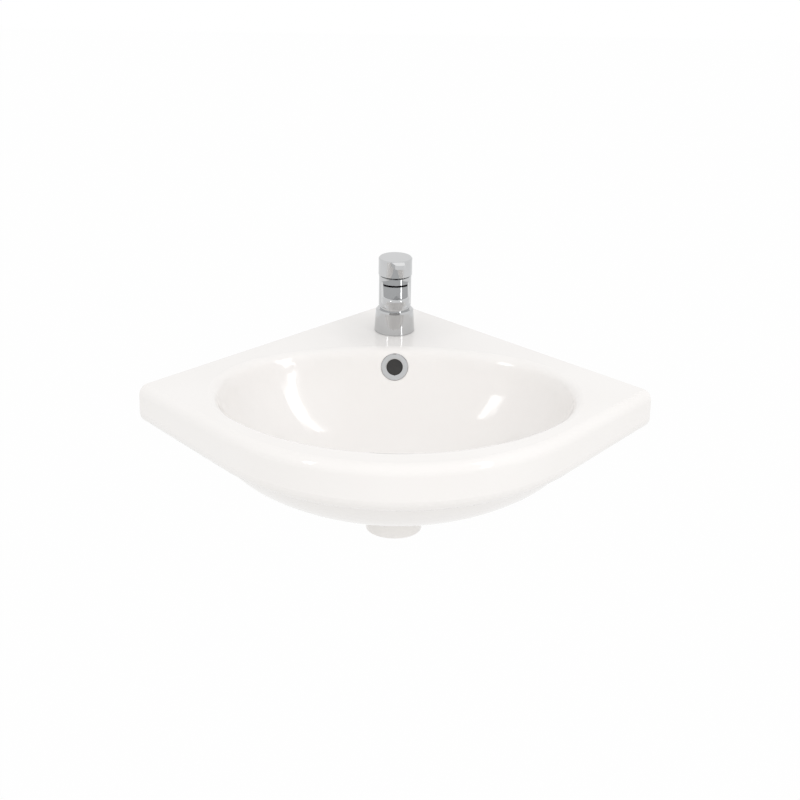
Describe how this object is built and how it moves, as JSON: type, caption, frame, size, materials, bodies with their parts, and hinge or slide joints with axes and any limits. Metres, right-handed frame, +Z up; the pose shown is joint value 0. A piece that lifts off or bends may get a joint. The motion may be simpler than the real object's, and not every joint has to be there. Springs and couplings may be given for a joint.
{
  "type": "corner basin",
  "caption": "Wall-hung corner basin in glazed ceramic: bowed front, rounded bowl with overflow, waste boss below and a compact chrome single-lever mixer on the corner ledge.",
  "frame": {"origin": "the vertical line where the two walls meet, at the height of the rim's flat top", "axes": "+X to the viewer's right along the front, from tip to tip; +Y from the room into the corner; +Z up"},
  "size_m": [0.5936, 0.5067, 0.2738],
  "materials": {
    "glazed_ceramic": "gloss",
    "chrome_body": "polished",
    "chrome_lever": "polished",
    "chrome_trim": "polished",
    "black_rubber": "matte",
    "white_plastic": "matte",
    "cartridge_plastic": "matte",
    "disc_ceramic": "ground",
    "brass": "machined",
    "steel": "zinc plated",
    "plug_plastic": "gloss"
  },
  "bodies": {
    "basin_and_mixer": {"basin": "glazed_ceramic", "overflow_ring": "chrome_trim", "mixer_body": "chrome_body", "base_gasket": "black_rubber", "aerator_housing": "chrome_body", "aerator_insert": "white_plastic", "aerator_seal": "black_rubber", "cartridge_base": "cartridge_plastic", "port_seals": "black_rubber", "fixed_disc": "disc_ceramic", "cartridge_housing": "cartridge_plastic", "cartridge_nut": "brass", "cover_ring": "chrome_trim", "fixing_stud": "steel", "rubber_horseshoe": "black_rubber", "steel_horseshoe": "steel", "stud_nut": "brass"},
    "rotor": {"cartridge_rotor": "cartridge_plastic", "stem_pin": "steel"},
    "disc": {"moving_disc": "disc_ceramic", "disc_carrier": "cartridge_plastic"},
    "lever": {"lever_handle": "chrome_lever", "cartridge_stem": "brass", "grub_screw": "steel", "screw_plug": "plug_plastic"}
  },
  "joints": [
    {"name": "temperature", "type": "hinge", "parent": "basin_and_mixer", "child": "rotor", "pos_m": [0, -0.104, 0.06], "axis": [0, 0, 1], "range_deg": [-52, 38]},
    {"name": "flow", "type": "hinge", "parent": "rotor", "child": "lever", "pos_m": [0, -0.104, 0.06], "axis": [-0.9925, -0.1219, 0], "range_deg": [0, 20]},
    {"name": "disc_slide", "type": "slide", "parent": "rotor", "child": "disc", "axis": [0.1219, -0.9925, 0], "range_m": [0, 0.0028]}
  ],
  "couplings": [
    {"joint": "disc_slide", "follows": "flow", "m_per_rad": 0.00802}
  ]
}
